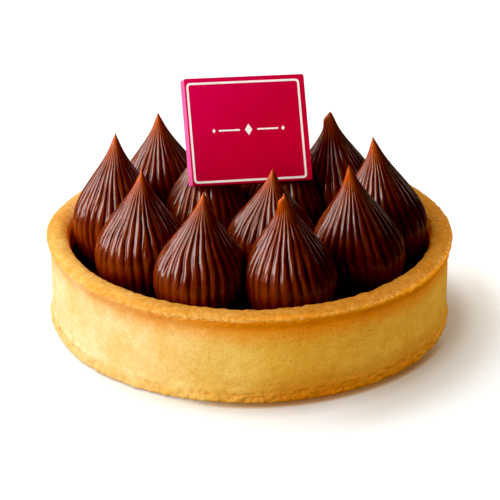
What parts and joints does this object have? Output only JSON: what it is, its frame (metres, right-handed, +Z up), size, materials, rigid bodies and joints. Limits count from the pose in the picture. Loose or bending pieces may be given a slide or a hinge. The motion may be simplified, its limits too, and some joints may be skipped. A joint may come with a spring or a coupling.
{
  "type": "chocolate tart",
  "caption": "Round shortcrust tart: an upright baked shell with a dark filling, piped ridged chocolate swirls standing close together and a thin square crimson plaque leaning among them.",
  "frame": {"origin": "middle of the flat underside of the shell, which is the bottom centre of the whole part's box", "axes": "+Z up through the swirls, -Y towards the front that the plaque faces, +X to the right of that front"},
  "size_m": [0.081, 0.081, 0.0467],
  "materials": {
    "baked_shortcrust": "matt golden shortcrust, browner at the rim and foot, with fine pores",
    "dark_filling": "dark smooth filling, faint sheen",
    "piped_chocolate": "satin dark chocolate with fine piped ridges and orange-brown tips",
    "crimson_plaque": "smooth crimson coating with a thin white line near its edge"
  },
  "bodies": {
    "root": {"shortcrust_shell": "baked_shortcrust", "filling": "dark_filling", "swirl_front_right": "piped_chocolate", "swirl_right_front": "piped_chocolate", "swirl_right": "piped_chocolate", "swirl_right_back": "piped_chocolate", "swirl_back": "piped_chocolate", "swirl_left_back": "piped_chocolate", "swirl_left": "piped_chocolate", "swirl_left_front": "piped_chocolate", "swirl_front_left": "piped_chocolate", "swirl_middle_front": "piped_chocolate", "swirl_middle_left": "piped_chocolate", "swirl_middle_right": "piped_chocolate", "plaque": "crimson_plaque"}
  },
  "joints": []
}
